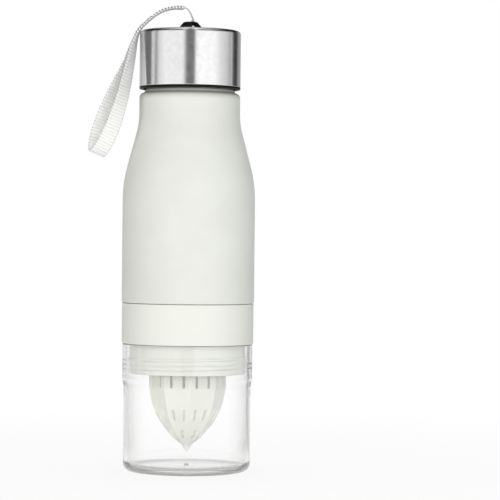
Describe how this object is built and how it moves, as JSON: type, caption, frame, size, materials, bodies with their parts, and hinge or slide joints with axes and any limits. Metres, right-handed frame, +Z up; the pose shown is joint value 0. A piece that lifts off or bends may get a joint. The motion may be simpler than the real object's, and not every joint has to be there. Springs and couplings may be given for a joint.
{
  "type": "fruit infuser water bottle",
  "caption": "Tall frosted bottle that screws onto a citrus juicer ring over a clear fruit cup, with a steel screw cap and a woven wrist strap.",
  "frame": {"origin": "centre of the fruit cup's foot, on the surface that the bottle stands on", "axes": "+Z up the bottle's axis, -Y towards the front, with the strap hanging on the -X side"},
  "size_m": [0.0911, 0.071, 0.2499],
  "materials": {
    "clear_plastic": "clear, polished",
    "silicone": "satin",
    "white_plastic": "smooth moulded",
    "translucent_plastic": "milky, smooth moulded",
    "frosted_plastic": "fine frosted",
    "black_plastic": "moulded",
    "steel": "turned, fine brushed round",
    "string": "twisted",
    "webbing": "ribbed narrow weave"
  },
  "bodies": {
    "cup": {"fruit_cup": "clear_plastic"},
    "cup_seal": {"lower_seal": "silicone"},
    "juicer": {"juicer_ring": "white_plastic", "juicer_cone": "translucent_plastic"},
    "body_seal": {"upper_seal": "silicone"},
    "bottle": {"upper_body": "frosted_plastic"},
    "gasket": {"cap_gasket": "silicone"},
    "cap": {"cap_liner": "black_plastic", "cap_shell": "steel", "strap_lug": "black_plastic", "strap_string": "string", "wrist_strap": "webbing"}
  },
  "joints": [
    {"name": "cup_thread_lift", "type": "slide", "parent": "cup", "child": "cup_seal", "axis": [0, 0, 1], "range_m": [0, 0.00721]},
    {"name": "cup_thread_turn", "type": "hinge", "parent": "cup_seal", "child": "juicer", "pos_m": [0, 0, 0.0685], "axis": [0, 0, 1], "range_deg": [0, 1080]},
    {"name": "body_thread_lift", "type": "slide", "parent": "juicer", "child": "body_seal", "axis": [0, 0, 1], "range_m": [0, 0.00721]},
    {"name": "body_thread_turn", "type": "hinge", "parent": "body_seal", "child": "bottle", "pos_m": [0, 0, 0.09], "axis": [0, 0, 1], "range_deg": [0, 1080]},
    {"name": "cap_thread_lift", "type": "slide", "parent": "bottle", "child": "gasket", "axis": [0, 0, 1], "range_m": [0, 0.01001]},
    {"name": "cap_thread_turn", "type": "hinge", "parent": "gasket", "child": "cap", "pos_m": [0, 0, 0.2195], "axis": [0, 0, 1], "range_deg": [0, 900]}
  ],
  "couplings": [
    {"joint": "cup_thread_lift", "follows": "cup_thread_turn", "m_per_rad": 0.00038197},
    {"joint": "body_thread_lift", "follows": "body_thread_turn", "m_per_rad": 0.00038197},
    {"joint": "cap_thread_lift", "follows": "cap_thread_turn", "m_per_rad": 0.00063662}
  ]
}
